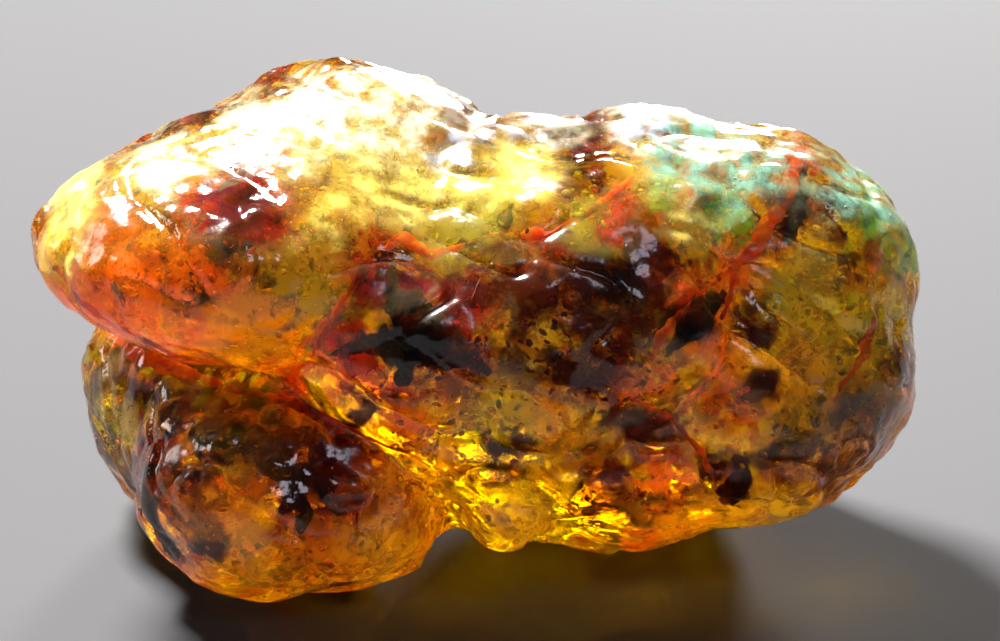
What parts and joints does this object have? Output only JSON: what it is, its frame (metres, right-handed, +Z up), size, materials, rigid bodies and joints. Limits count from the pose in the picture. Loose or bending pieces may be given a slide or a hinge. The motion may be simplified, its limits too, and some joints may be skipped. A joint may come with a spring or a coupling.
{
  "type": "raw amber piece",
  "caption": "Rough see-through amber nodule with a blunt end, a deep undercut and bark sealed inside, resting on worn flats.",
  "frame": {"origin": "middle of the underside of the bounding box, on the surface the nodule rests on", "axes": "+X along the nodule's length towards its paler blunt end, -Y towards the side that shows the undercut lobe, +Z up"},
  "size_m": [0.048, 0.029, 0.0269],
  "materials": {
    "amber": "glossy see-through resin, honey yellow to dark red-brown, naturally smooth with small chips and folds",
    "bark": "dark bark and wood dust sealed in the resin",
    "red_seam": "rust-red weathered seams between the resin flows",
    "gold_cloud": "golden clouds of tiny bubbles",
    "green_bloom": "blue-green milky bloom just under the surface",
    "dust": "pale specks of dust and fibre lying on the surface"
  },
  "bodies": {
    "root": {"amber_nodule": "amber"}
  },
  "joints": []
}
